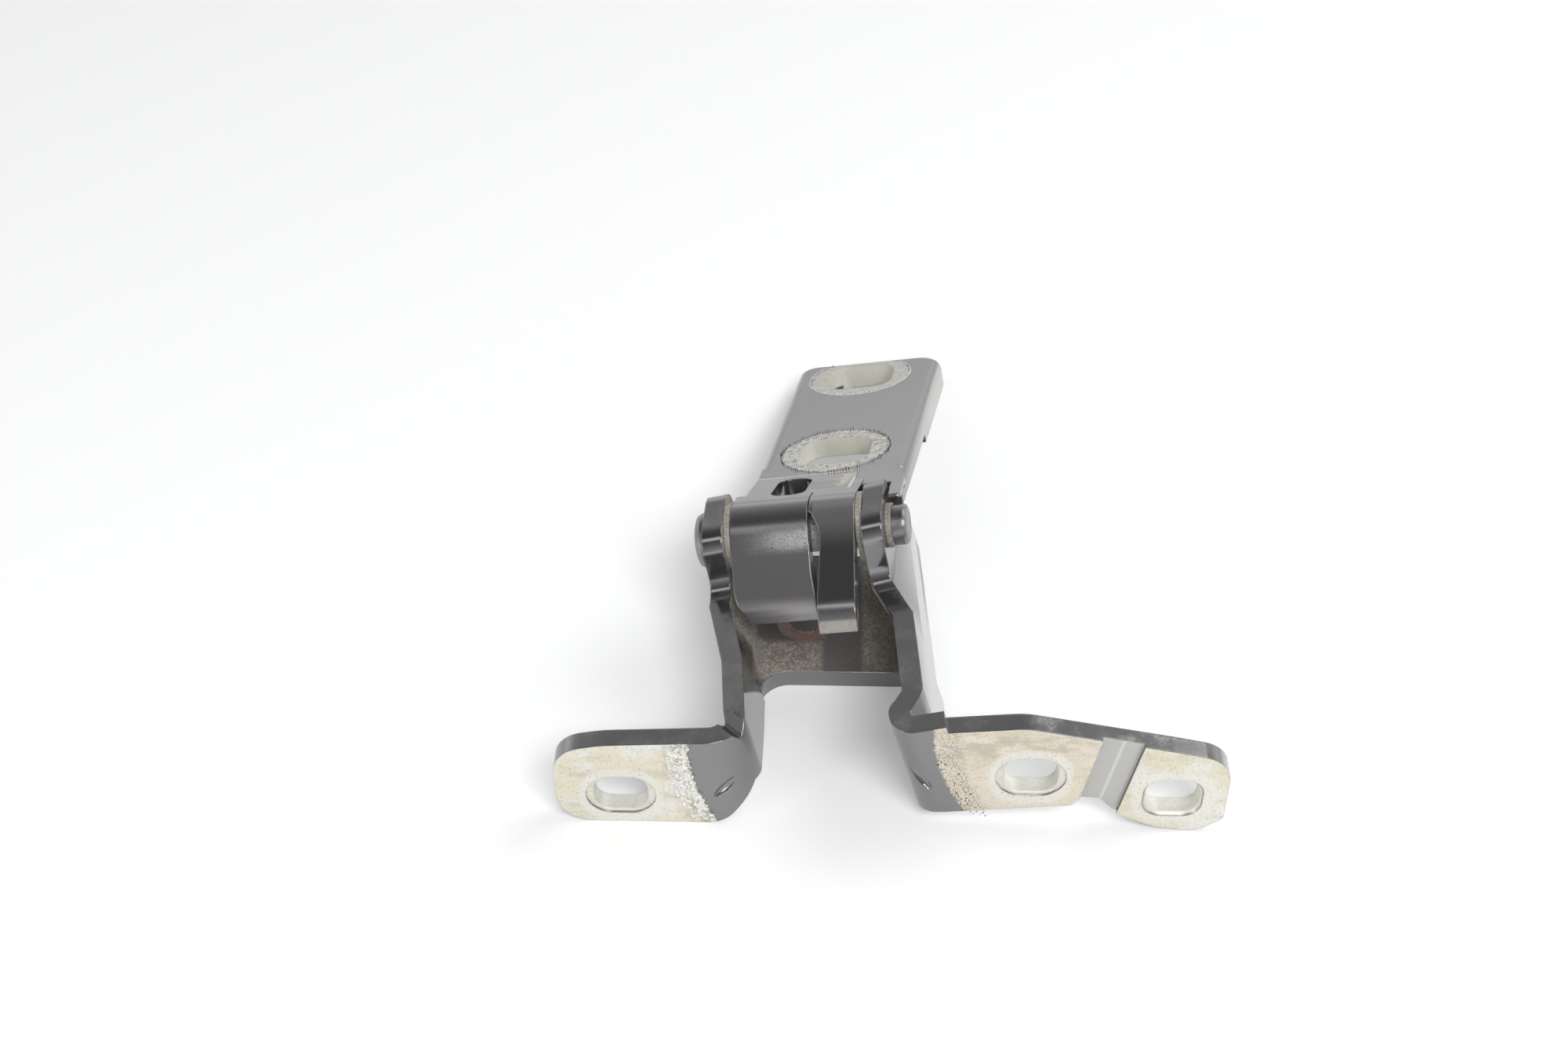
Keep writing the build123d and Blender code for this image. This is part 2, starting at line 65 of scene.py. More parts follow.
# Shader writing. Lengths inside the materials are in millimetres.
class Shade:
    def __init__(self, name):
        self.material = bpy.data.materials.new(name)
        self.material.use_nodes = True
        self.tree = self.material.node_tree
        self.tree.nodes.clear()
        self.coordinates = self.node("ShaderNodeTexCoord")
        scaled = self.node("ShaderNodeVectorMath", operation="SCALE")
        self.join(self.coordinates.outputs["Object"], scaled.inputs[0])
        scaled.inputs["Scale"].default_value = 1000
        self.place = scaled.outputs[0]
        self.x, self.y, self.z = self.split(self.place)
        self.facing = self.coordinates.outputs["Normal"]

    def node(self, kind, **settings):
        made = self.tree.nodes.new(kind)
        for key, value in settings.items():
            setattr(made, key, value)
        return made

    def join(self, source, target):
        if isinstance(source, bpy.types.NodeSocket):
            self.tree.links.new(source, target)
        else:
            target.default_value = source

    def split(self, vector):
        parts = self.node("ShaderNodeSeparateXYZ")
        self.join(vector, parts.inputs[0])
        return parts.outputs[0], parts.outputs[1], parts.outputs[2]

    def calculate(self, operation, first, second=0.0):
        made = self.node("ShaderNodeMath", operation=operation)
        self.join(first, made.inputs[0])
        self.join(second, made.inputs[1])
        return made.outputs[0]

    def add(self, *values):
        total = values[0]
        for value in values[1:]:
            total = self.calculate("ADD", total, value)
        return total

    def less(self, first, second):
        return self.calculate("SUBTRACT", first, second)

    def times(self, *values):
        total = values[0]
        for value in values[1:]:
            total = self.calculate("MULTIPLY", total, value)
        return total

    def most(self, *values):
        total = values[0]
        for value in values[1:]:
            total = self.calculate("MAXIMUM", total, value)
        return total

    def rise(self, value, low, high):  # 0 below low, 1 above high, smooth between
        made = self.node("ShaderNodeMapRange", interpolation_type="SMOOTHSTEP", clamp=True)
        self.join(value, made.inputs["Value"])
        self.join(low, made.inputs["From Min"])
        self.join(high, made.inputs["From Max"])
        return made.outputs["Result"]

    def fall(self, value, low, high):
        return self.less(1.0, self.rise(value, low, high))

    def between(self, value, low, high, soft):
        above = self.rise(value, low - soft, low + soft)
        return self.times(above, self.fall(value, high - soft, high + soft))

    def reach(self, direction, origin):  # distance along a direction from an origin
        made = self.node("ShaderNodeVectorMath", operation="DOT_PRODUCT")
        self.join(self.place, made.inputs[0])
        made.inputs[1].default_value = tuple(direction)
        return self.less(made.outputs["Value"], 1000 * direction.dot(origin))

    def turned(self, direction):  # how far the surface faces a direction
        made = self.node("ShaderNodeVectorMath", operation="DOT_PRODUCT")
        self.join(self.facing, made.inputs[0])
        made.inputs[1].default_value = tuple(direction)
        return made.outputs["Value"]

    def noise(self, scale, detail=3.0, rough=0.55, stretch=(1, 1, 1), shift=0.0, distortion=0.0):
        mapping = self.node("ShaderNodeMapping")
        self.join(self.place, mapping.inputs["Vector"])
        mapping.inputs["Scale"].default_value = stretch
        mapping.inputs["Location"].default_value = (shift, shift * 0.7, shift * 1.3)
        made = self.node("ShaderNodeTexNoise")
        self.join(mapping.outputs[0], made.inputs["Vector"])
        made.inputs["Scale"].default_value = scale
        made.inputs["Detail"].default_value = detail
        made.inputs["Roughness"].default_value = rough
        made.inputs["Distortion"].default_value = distortion
        return made.outputs["Fac"]

    def cells(self, scale):
        made = self.node("ShaderNodeTexVoronoi", feature="F1")
        self.join(self.place, made.inputs["Vector"])
        made.inputs["Scale"].default_value = scale
        return made.outputs["Distance"]

    def blend(self, amount, first, second):
        made = self.node("ShaderNodeMix", data_type="RGBA", clamp_factor=True)
        self.join(amount, made.inputs[0])
        self.join(first, made.inputs[6])
        self.join(second, made.inputs[7])
        return made.outputs[2]

    def layered(self, surface, layers):  # each layer is where, how strong, and its colour
        for where, amount, tint in layers:
            surface = self.blend(self.times(where, amount), surface, tint)
        return surface

    def level(self, amount, first, second):
        made = self.node("ShaderNodeMix", data_type="FLOAT", clamp_factor=True)
        self.join(amount, made.inputs[0])
        self.join(first, made.inputs[2])
        self.join(second, made.inputs[3])
        return made.outputs[0]

    def levelled(self, value, layers):  # each layer is where and the new value
        for where, other in layers:
            value = self.level(where, value, other)
        return value

    # distance outside a slot with round corners, less than 0 within it
    def slotGap(self, across, up, halfWide, halfHigh, corner):
        side = self.less(self.calculate("ABSOLUTE", across), halfWide - corner)
        rise = self.less(self.calculate("ABSOLUTE", up), halfHigh - corner)
        outside = self.away(self.most(side, 0.0), self.most(rise, 0.0))
        inside = self.calculate("MINIMUM", self.most(side, rise), 0.0)
        return self.less(self.add(outside, inside), corner)

    def away(self, across, up):  # distance from a point
        return self.calculate("SQRT", self.add(self.times(across, across), self.times(up, up)))

    def patch(self, across, up, left, right, low, high, soft):
        return self.times(self.between(across, left, right, soft), self.between(up, low, high, soft))

    def finish(self, settings, base, roughness, height, drop):
        shader = self.node("ShaderNodeBsdfPrincipled")
        shader.inputs["IOR"].default_value = settings["ior"]
        shader.inputs["Specular IOR Level"].default_value = settings["specular"]
        self.join(base, shader.inputs["Base Color"])
        self.join(roughness, shader.inputs["Roughness"])
        soft = self.node("ShaderNodeBevel", samples=4)
        soft.inputs["Radius"].default_value = settings["edgeRadius"]
        bump = self.node("ShaderNodeBump")
        bump.inputs["Strength"].default_value = 1.0
        bump.inputs["Distance"].default_value = drop
        self.join(height, bump.inputs["Height"])
        self.join(soft.outputs[0], bump.inputs["Normal"])
        self.join(bump.outputs[0], shader.inputs["Normal"])
        output = self.node("ShaderNodeOutputMaterial")
        self.join(shader.outputs[0], output.inputs["Surface"])
        return self.material


def colour(red, green, blue):
    return (red, green, blue, 1.0)


paint = {
    "ior": 2.1,
    "specular": 0.95,
    "edgeRadius": 0.0005,
    "black": colour(0.016, 0.015, 0.017),
    "worn": colour(0.16, 0.155, 0.155),
    # scuffed paint, also lightened as a painted highlight
    "scuffAndHighlight": colour(0.36, 0.35, 0.36),
    "pinkish": colour(0.20, 0.155, 0.15),
    "gloss": 0.13,
    "scuffed": 0.34,
    "bumpDrop": 0.00012,
    "fineBumpDrop": 0.00008,
}

bare = {
    "cream": colour(0.68, 0.63, 0.47),
    "white": colour(0.72, 0.72, 0.66),
    "pink": colour(0.64, 0.55, 0.43),
    "silver": colour(0.52, 0.51, 0.48),
    "straw": colour(0.58, 0.48, 0.24),
    "brown": colour(0.25, 0.195, 0.12),
    "wall": colour(0.68, 0.68, 0.59),
    "strapWall": colour(0.54, 0.54, 0.46),
    "flake": colour(0.74, 0.73, 0.69),
    # pale grey for painted reflections and highlights on the black paint
    "paintedSheen": colour(0.62, 0.63, 0.64),
    "ring": colour(0.44, 0.43, 0.385),
    "ringDark": colour(0.10, 0.085, 0.06),
    "roughness": 0.5,
}

dust = {
    "pale": colour(0.50, 0.44, 0.35),
    "brown": colour(0.16, 0.135, 0.105),
    # dark grit and specks, also used as painted shadow on the web
    "darkGritAndShadow": colour(0.035, 0.031, 0.028),
    "grime": colour(0.07, 0.06, 0.05),
    "amber": colour(0.20, 0.062, 0.012),
    "roughness": 0.85,
}

# Places are in millimetres. Two numbers are the start and the end of a fade, three are two sides and
# their softness, and five are the four sides of a patch and its softness.
bracketLooks = {
    "forward": (0, -1, 0),
    "upward": (0, 0, 1),
    "faceDepth": (0.7, 0.9),              # the bare fronts lie before this
    "leftEdge": (16.6, 15.8, 0.0100),     # where the paint starts: height, place across, curve
    "rightEdge": (23.0, 71.6, 0.0117),
    "leftFoot": (39.0, 40.0),
    "flakeBand": (-5.2, 0.1, 1.0),
    "crackBand": (-3.7, 0.3, 0.6),
    "speckBand": (-0.6, 6.0, 1.2),
    "slots": [(0.0, 0.0), (94.3, 8.3), (127.3, 2.1)],
    "slotHalf": (6.2, 5.35, 3.8),         # half the width, half the height, corner
    "wallGap": (0.1, 0.9),
    "wallDepth": (5.2, 5.5),
    "seatGap": (0.8, 3.4, 0.9),           # the pale seat round each slot
    "seatDepth": (0.8, 1.0),
    "grooveSlant": 0.197,
    "groove": (105.4, 116.2, 0.4),
    "grooveDepth": (0.9, 1.5, 0.2),
    "grooveHighlight": (110.5, 111.2, 0.3),
    "pinkAcross": (66.0, 112.0, 4.0),
    "leftStreak": (-12.0, 13.0, 5.8, 8.0, 1.2),
    "rightStain": (76.0, 104.0, 14.0, 23.0, 3.0),
    "dustStart": (36.0, 46.0),            # how far back the dust starts
    "leftInside": (39.0, 41.0),
    "leftInner": (0.97, 0.06, 0.2),       # the way each arm's inner face looks
    "rightInside": (50.0, 52.0),
    "rightInner": (-0.96, -0.06, -0.25),
    "webTop": (2.0, 3.5),
    "foldTop": (0.0, 4.0),
    "foldAcross": (29.0, 72.0, 0.5),
    "brownAcross": (54.0, 60.0),
    "tongueShadowAcross": (46.3, 56.2, 0.9),     # painted shadow of the right tongue, a dark strip across the web
    "knuckleShadowBack": (54.0, 56.5),
    "knuckleShadowLeft": (46.0, 48.0),
    "smear": (42.0, 63.0, 4.6, 7.5),      # middle and both radii of the amber smear on the web
    "smearBack": (61.0, 65.0),
    "rubbedHeight": (0.0, 3.0),
    "outerFace": (0.96, 0.07, 0.26),
    "outerAcross": (60.0, 62.0),
    "outerHeight": (8.0, 26.0),
    "smearRoughness": 0.2,
    "grooveRoughness": 0.28,
}


def paintEdge(s, edge, ragged):  # distance past the curved line where the paint starts
    top, start, curve = edge
    drop = s.less(top, s.z)
    return s.less(s.add(s.x, ragged), s.add(s.times(drop, drop, curve), start))


def bracketMaterial():
    s = Shade("bracketPaintAndBareSteel")
    look = bracketLooks
    fine = s.noise(0.9, 6, 0.7)
    broad = s.noise(0.12, 4, 0.6, shift=3)
    blot = s.noise(0.14, 4, 0.55, (1, 1, 1.5), 5)
    grain = s.noise(2.6, 4, 0.75, shift=9)
    speck = s.noise(3.4, 2, 0.5, shift=14)
    grit = s.noise(1.5, 3, 0.8, shift=9)
    pits = s.noise(1.5, 3, 0.6, shift=21)
    streaks = s.noise(0.3, 7, 0.7, (0.5, 1, 1.3), 2, 0.15)
    crumpled = s.noise(0.55, 4, 0.7, (1, 1, 0.8), 31)
    waver = s.less(broad, 0.5)
    facingFront = s.turned(look["forward"])
    facingUp = s.turned(look["upward"])

    # bare fronts, with a ragged edge of paint at each bend
    front = s.times(s.rise(facingFront, 0.80, 0.95), s.fall(s.y, *look["faceDepth"]))
    ragged = s.times(s.less(fine, 0.5), 4.0)
    leftIn = paintEdge(s, look["leftEdge"], ragged)
    rightIn = paintEdge(s, look["rightEdge"], ragged)
    leftHalf = s.fall(s.x, *look["leftFoot"])
    bareFront = s.times(front, s.level(leftHalf, s.rise(rightIn, -0.3, 0.3), s.fall(leftIn, -0.2, 0.2)))
    flakes = s.times(front, leftHalf, s.between(leftIn, *look["flakeBand"]), s.rise(crumpled, 0.38, 0.56))
    cracks = s.times(front, leftHalf, s.between(leftIn, *look["crackBand"]),
                     s.between(crumpled, 0.42, 0.48, 0.02))
    specks = s.times(s.less(1.0, leftHalf), s.between(rightIn, *look["speckBand"]),
                     s.rise(speck, 0.52, 0.58))

    # slot walls, the worn seats and the groove
    walls = 0.0
    seats = 0.0
    for slotX, slotZ in look["slots"]:
        gap = s.slotGap(s.less(s.x, slotX), s.less(s.z, slotZ), *look["slotHalf"])
        walls = s.most(walls, s.times(s.fall(gap, *look["wallGap"]), s.fall(s.y, *look["wallDepth"])))
        seats = s.most(seats, s.times(s.between(gap, *look["seatGap"]), s.fall(s.y, *look["seatDepth"])))
    slant = s.less(s.x, s.times(s.z, look["grooveSlant"]))
    groove = s.times(s.between(slant, *look["groove"]), s.between(s.y, *look["grooveDepth"]),
                     s.rise(facingFront, 0.8, 0.95))

    # dust on the web and on the inner faces of the arms behind the bends
    behind = s.rise(s.add(s.y, s.times(waver, 16.0), s.times(s.less(fine, 0.5), 8.0)), *look["dustStart"])
    leftInside = s.times(s.fall(s.x, *look["leftInside"]), s.rise(s.turned(look["leftInner"]), 0.75, 0.9))
    rightInside = s.times(s.rise(s.x, *look["rightInside"]), s.rise(s.turned(look["rightInner"]), 0.7, 0.9))
    webTop = s.times(s.rise(facingUp, 0.3, 0.6), s.fall(s.z, *look["webTop"]))
    webFold = s.times(s.fall(s.z, *look["foldTop"]), s.between(s.x, *look["foldAcross"]),
                      s.rise(facingUp, 0.02, 0.3))
    dusty = s.times(behind, s.most(leftInside, rightInside, webTop, webFold))
    # painted shadow on the web: a dark strip under the right tongue and a dark area under the knuckle
    knuckleShadow = s.times(s.rise(s.y, *look["knuckleShadowBack"]), s.fall(s.x, *look["knuckleShadowLeft"]))
    webShadow = s.times(webTop, s.most(s.between(s.x, *look["tongueShadowAcross"]), knuckleShadow))

    # amber smear on the web, below the tongues
    smearX, smearY, smearInner, smearOuter = look["smear"]
    smearFar = s.add(s.away(s.less(s.x, smearX), s.less(s.y, smearY)), s.times(waver, 2.0))
    smear = s.times(webTop, s.between(smearFar, smearInner, smearOuter, 0.3),
                    s.fall(s.y, *look["smearBack"]))

    # rubbed top edges, and a painted reflection that lightens the right arm's outer face
    rubbed = s.times(s.rise(facingUp, 0.75, 0.95), s.rise(s.z, *look["rubbedHeight"]),
                     s.rise(s.add(broad, s.times(grain, 0.5)), 0.70, 0.98))
    paintedSheen = s.times(s.rise(s.x, *look["outerAcross"]), s.rise(s.turned(look["outerFace"]), 0.8, 0.95),
                   s.fall(s.z, *look["outerHeight"]))

    leftStreak = s.patch(s.x, s.add(s.z, s.times(waver, 6.0)), *look["leftStreak"])
    rightStain = s.times(s.patch(s.x, s.z, *look["rightStain"]), s.rise(streaks, 0.42, 0.56))
    wallColour = s.blend(s.times(s.rise(fine, 0.5, 0.6), 0.5), bare["wall"], bare["silver"])
    bareColour = s.layered(s.blend(s.rise(broad, 0.42, 0.58), bare["cream"], bare["white"]), [
        (s.between(s.x, *look["pinkAcross"]), 0.8, bare["pink"]),
        (s.rise(blot, 0.42, 0.66), 0.45, bare["straw"]),
        (s.rise(streaks, 0.48, 0.70), 0.35, bare["brown"]),
        (leftStreak, 0.28, bare["brown"]),
        (rightStain, 0.45, bare["brown"]),
        (seats, 0.75, bare["white"]),
        (s.rise(pits, 0.57, 0.63), 0.5, bare["brown"]),
        (flakes, 0.8, bare["flake"]),
        (cracks, 0.6, bare["ringDark"]),
        (walls, 1.0, wallColour),
    ])
    dustGround = s.blend(s.rise(s.add(grit, s.times(waver, 0.2)), 0.44, 0.62), dust["brown"], dust["pale"])
    dustAndShadowColour = s.layered(dustGround, [
        # the web is darker brown toward its right end
        (s.times(s.rise(s.x, *look["brownAcross"]), webTop), 0.3, dust["brown"]),
        # painted shadow darkens the dust on the web
        (webShadow, 0.9, dust["darkGritAndShadow"]),
    ])
    bareAll = s.most(bareFront, walls)
    surface = s.layered(paint["black"], [
        (rubbed, 0.3, paint["worn"]),
        (paintedSheen, 0.6, bare["paintedSheen"]),
        (dusty, 0.92, dustAndShadowColour),
        (smear, 1.0, dust["amber"]),
        # the groove is coloured pale grey, lighter than the black paint round it, with a painted highlight
        # streak along it
        (groove, 0.62, bare["silver"]),
        (s.times(groove, s.between(slant, *look["grooveHighlight"])), 0.45, bare["white"]),
        (bareAll, 1.0, bareColour),
        (specks, 0.7, dust["darkGritAndShadow"]),
    ])
    rough = s.levelled(paint["gloss"], [
        (rubbed, paint["scuffed"]),
        (dusty, dust["roughness"]),
        (smear, look["smearRoughness"]),
        (groove, look["grooveRoughness"]),
        (bareAll, bare["roughness"]),
    ])
    crumple = s.times(flakes, s.add(s.cells(0.8), crumpled), 2.0)
    fineHeight = s.times(fine, s.level(bareFront, 0.03, 0.35))
    grainHeight = s.times(grain, s.level(dusty, 0.02, 0.9))
    height = s.add(fineHeight, grainHeight, crumple)
    return s.finish(paint, surface, rough, height, paint["bumpDrop"])


# Places are along the pin, back down the strap, and level or up from the pin. Groups of two, three
# and five numbers are read as the bracket's are.
strapLooks = {
    "rings": (39.5, 94.0),                # middles of the two bolt marks, down the strap from the pin
    "ringAcross": 26.7,
    "ringRadius": 13.9,
    "ringFade": (-0.1, 0.15),
    "rimFade": (-0.3, 0.4, 0.15),
    "slotHalf": (9.25, 8.75, 5.5),        # half the width, half the length, corner
    "wallGap": (0.1, 0.3),
    "nearRing": (60.0, 66.0),
    "creaseAcross": (8.0, 33.0, 0.3),
    "creaseStart": (8.2, 23.6),
    "creaseSlope": 0.045,
    "creaseWidth": (0.28, 0.43),
    "pad": (41.0, 14.2, 6.5, 10.9, 2.6),  # middle, half the width and length, corner
    "padLine": (0.2, 0.55),
    "padBack": (5.0, 9.0),
    "creamPatch": (29.4, 33.6, 10.0, 22.6, 1.2),
    "creamLean": (16.0, -0.12),
    "creamFade": (29.0, 33.6),
    "roughStrip": (22.6, 30.5, 9.0, 14.4, 1.0),
    "ahead": (-1.0, 1.0),                 # the knuckle's front lies before this
    "leftTongue": (26.2, 27.0),
    "rightTongue": (26.6, 27.4),
    "bandAcross": (8.0, 24.0),
    "bandUp": (3.4, 6.6, 1.3),
    "tipDustUp": (-4.9, -4.1),
    "tipBandUp": (-4.2, -1.6, 0.8),
    "hookUp": (4.0, 8.0),
    "pinkAcross": (7.0, 20.0),
    "pinkUp": (-8.6, -5.6, 0.7),
    "flankAcross": (46.0, 48.0),
    "plateRoughness": 0.2,
    "knuckleRoughness": 0.27,
    "scuffRoughness": 0.42,
    "creamRoughness": 0.6,
}


def strapMaterial():
    s = Shade("strapPaintAndBoltMarks")
    look = strapLooks
    along = s.reach(pinAlong, pinPoint)
    back = s.reach(strapBack, pinPoint)
    level = s.reach(pinLevel, pinPoint)
    up = s.reach(pinUp, pinPoint)
    fine = s.noise(0.9, 6, 0.7)
    broad = s.noise(0.12, 4, 0.6, shift=3)
    grain = s.noise(2.6, 4, 0.75, shift=9)
    mottle = s.noise(0.75, 3, 0.7, shift=17)
    scratch = s.noise(1.1, 5, 0.7, (1, 4, 4), 6)
    facingOut = s.turned(strapOut)
    top = s.rise(facingOut, 0.75, 0.95)

    # bare rings where the bolt heads sat, and the slots' walls
    ragged = s.times(s.less(s.noise(0.9, 4, 0.75, shift=4), 0.5), 6.0)
    rings = 0.0
    rims = 0.0
    walls = 0.0
    for ringBack in look["rings"]:
        across = s.less(along, look["ringAcross"])
        down = s.less(back, ringBack)
        beyond = s.less(s.add(s.away(across, down), ragged), look["ringRadius"])
        rings = s.most(rings, s.times(top, s.fall(beyond, *look["ringFade"])))
        rims = s.most(rims, s.times(top, s.between(beyond, *look["rimFade"])))
        gap = s.slotGap(across, down, *look["slotHalf"])
        walls = s.most(walls, s.times(s.fall(gap, *look["wallGap"]), s.fall(facingOut, 0.4, 0.7)))
    nearRing = s.fall(back, *look["nearRing"])
    darkSpots = s.times(s.rise(mottle, 0.50, 0.60), s.level(nearRing, 0.3, 0.85))
    paleSpots = s.times(s.rise(fine, 0.53, 0.58), s.level(nearRing, 0.35, 0.8))
    ringColour = s.blend(paleSpots, s.blend(darkSpots, bare["ring"], bare["ringDark"]), bare["white"])
    wallColour = s.blend(s.times(s.rise(fine, 0.5, 0.6), 0.4), bare["strapWall"], bare["cream"])

    # painted highlight lines along the crease where the plate steps down and round the pad, the smear and
    # the rough strip
    creaseFrom, creaseBack = look["creaseStart"]
    creaseLine = s.add(s.times(s.less(along, creaseFrom), look["creaseSlope"]), creaseBack)
    creaseFar = s.calculate("ABSOLUTE", s.less(back, creaseLine))
    crease = s.times(s.fall(creaseFar, *look["creaseWidth"]), s.between(along, *look["creaseAcross"]))
    padMiddle, padBack, padWide, padLong, padCorner = look["pad"]
    padGap = s.slotGap(s.less(along, padMiddle), s.less(back, padBack), padWide, padLong, padCorner)
    padLine = s.times(s.fall(s.calculate("ABSOLUTE", padGap), *look["padLine"]),
                      s.rise(back, *look["padBack"]), top)
    highlightLines = s.most(crease, padLine)
    creamMiddle, creamLean = look["creamLean"]
    creamAcross = s.add(along, s.times(s.less(back, creamMiddle), creamLean))
    creamThick = s.add(fine, s.times(s.rise(along, *look["creamFade"]), 0.2))
    cream = s.times(s.patch(creamAcross, back, *look["creamPatch"]), s.rise(creamThick, 0.50, 0.66))
    crumbs = s.times(s.patch(along, back, *look["roughStrip"]), s.rise(s.add(grain, scratch), 0.92, 1.12))

    # scuffs on the knuckle: a worn band where it turns down, lightened further as a painted highlight that
    # grows toward its right end, and dust at the end of the right tongue
    ahead = s.fall(level, *look["ahead"])
    leftTongue = s.times(ahead, s.fall(along, *look["leftTongue"]))
    rightTongue = s.times(ahead, s.rise(along, *look["rightTongue"]))
    bandUp = s.add(up, s.times(s.less(broad, 0.5), 2.0))
    band = s.times(leftTongue, s.between(bandUp, *look["bandUp"]), s.rise(along, *look["bandAcross"]))
    scuffsAndHighlight = s.times(band, s.rise(scratch, 0.36, 0.62))
    lowScuffs = s.times(ahead, s.rise(scratch, 0.60, 0.74), s.rise(broad, 0.4, 0.6))
    tipDust = s.times(rightTongue, s.fall(up, *look["tipDustUp"]), s.rise(s.add(grain, broad), 0.80, 1.0))
    tipBand = s.times(rightTongue, s.between(up, *look["tipBandUp"]), s.rise(scratch, 0.44, 0.66))
    # the top of the right tongue's hook is lightened to grey
    hookTopGrey = s.times(rightTongue, s.rise(up, *look["hookUp"]))
    # pinkish tint on the left tongue's lower edge, also a painted reflection of the floor
    pinkBandAndReflection = s.times(leftTongue, s.between(up, *look["pinkUp"]), s.rise(along, *look["pinkAcross"]))
    # painted reflection: the strap's right side face is lightened toward white
    flankReflection = s.times(s.rise(s.turned(pinAlong), 0.55, 0.85), s.rise(along, *look["flankAcross"]))

    surface = s.layered(paint["black"], [
        (s.rise(grain, 0.62, 0.72), 0.12, paint["worn"]),
        (scuffsAndHighlight, 0.8, paint["scuffAndHighlight"]),
        (lowScuffs, 0.35, paint["worn"]),
        (tipBand, 0.5, paint["worn"]),
        (tipDust, 0.4, dust["pale"]),
        (hookTopGrey, 0.65, paint["worn"]),
        (pinkBandAndReflection, 0.6, paint["pinkish"]),
        (cream, 0.8, bare["pink"]),
        (crumbs, 0.8, bare["silver"]),
        (highlightLines, 0.7, bare["paintedSheen"]),
        (rings, 1.0, ringColour),
        (rims, 0.6, dust["grime"]),
        (walls, 1.0, wallColour),
        (flankReflection, 0.45, bare["white"]),
    ])
    rough = s.levelled(paint["gloss"], [
        (s.rise(broad, 0.3, 0.7), look["plateRoughness"]),
        (leftTongue, look["knuckleRoughness"]),
        (rightTongue, look["plateRoughness"]),
        (scuffsAndHighlight, look["scuffRoughness"]),
        (cream, look["creamRoughness"]),
        (s.most(rings, walls, crumbs, tipDust), bare["roughness"]),
    ])
    fineHeight = s.times(fine, s.level(rings, 0.02, 0.5))
    grainHeight = s.times(grain, s.level(s.most(crumbs, rings), 0.02, 0.9))
    height = s.add(fineHeight, grainHeight, s.times(scuffsAndHighlight, 0.2), s.times(rings, -0.6))
    return s.finish(paint, surface, rough, height, paint["bumpDrop"])


def plainMaterial(name, base, spot, amount, roughness):
    s = Shade(name)
    grain = s.noise(1.6, 5, 0.7)
    surface = s.blend(s.times(s.rise(grain, 0.46, 0.64), amount), base, spot)
    return s.finish(paint, surface, roughness, grain, paint["fineBumpDrop"])


def chipMaterial(name, base, roughness, metallic):
    material = bpy.data.materials.new(name)
    material.use_nodes = True
    shader = material.node_tree.nodes["Principled BSDF"]
    shader.inputs["Base Color"].default_value = base
    shader.inputs["Roughness"].default_value = roughness
    shader.inputs["Metallic"].default_value = metallic
    return material


def dress(node, material):
    piece = frame["nodes"][node]
    piece.data.materials.clear()
    piece.data.materials.append(material)


plainLooks = {                            # material name, ground, spots, how many spots, roughness
    "hinge_pin": ("pinPaint", paint["black"], dust["brown"], 0.35, 0.24),
    "pivot_bush": ("bushGrit", bare["silver"], dust["darkGritAndShadow"], 0.85, 0.7),
    "washer_left": ("washer_leftZinc", dust["brown"], dust["pale"], 0.7, 0.6),
    "washer_right": ("washer_rightZinc", dust["brown"], dust["pale"], 0.7, 0.6),
    "end_collar": ("end_collarZinc", dust["brown"], dust["pale"], 0.7, 0.6),
}
dress("body_bracket", bracketMaterial())
dress("lid_strap", strapMaterial())
for node, look in plainLooks.items():
    dress(node, plainMaterial(*look))
print("materials done")


# Flakes and ticks. Each tree scatters small solids and ends as one plain mesh on its body.
flakeShape = {
    "patchFrom": 0.44,                    # the noise that leaves bare patches between the flakes
    "patchTo": 0.56,
    "smallest": (0.25, 0.2, 0.6),
    "largest": (1.2, 0.9, 1.4),
    "turnFrom": (-0.5, -0.5, 0.0),
    "turnTo": (0.5, 0.5, 6.28),
}

tickShape = {
    "smallest": (0.2, 0.5, 0.5),
    "largest": (1.3, 1.3, 1.0),
}


def newTree(name, numbers):
    tree = bpy.data.node_groups.new(name, "GeometryNodeTree")
    tree.interface.new_socket("Geometry", in_out="INPUT", socket_type="NodeSocketGeometry")
    for label, kind in numbers:
        tree.interface.new_socket(label, in_out="INPUT", socket_type=kind)
    tree.interface.new_socket("Geometry", in_out="OUTPUT", socket_type="NodeSocketGeometry")
    return tree, tree.nodes.new("NodeGroupInput"), tree.nodes.new("NodeGroupOutput")


def randomBetween(tree, low, high, seed):
    made = tree.nodes.new("FunctionNodeRandomValue")
    made.data_type = "FLOAT_VECTOR"
    made.inputs[0].default_value = low
    made.inputs[1].default_value = high
    tree.links.new(seed, made.inputs["Seed"])
    return made.outputs[0]


def variedSize(tree, size, shape, seed):  # a size times a random factor for each axis
    varied = tree.nodes.new("ShaderNodeVectorMath")
    varied.operation = "MULTIPLY"
    tree.links.new(size, varied.inputs[0])
    tree.links.new(randomBetween(tree, shape["smallest"], shape["largest"], seed), varied.inputs[1])
    return varied.outputs[0]


def finishTree(tree, inputs, output, points, turn, scale):
    ball = tree.nodes.new("GeometryNodeMeshIcoSphere")
    ball.inputs["Radius"].default_value = 0.5
    ball.inputs["Subdivisions"].default_value = 1
    spread = tree.nodes.new("GeometryNodeInstanceOnPoints")
    tree.links.new(points, spread.inputs["Points"])
    tree.links.new(ball.outputs["Mesh"], spread.inputs["Instance"])
    tree.links.new(turn, spread.inputs["Rotation"])
    tree.links.new(scale, spread.inputs["Scale"])
    real = tree.nodes.new("GeometryNodeRealizeInstances")
    tree.links.new(spread.outputs[0], real.inputs[0])
    dressed = tree.nodes.new("GeometryNodeSetMaterial")
    tree.links.new(real.outputs[0], dressed.inputs["Geometry"])
    tree.links.new(inputs.outputs["Material"], dressed.inputs["Material"])
    tree.links.new(dressed.outputs[0], output.inputs[0])
    return tree


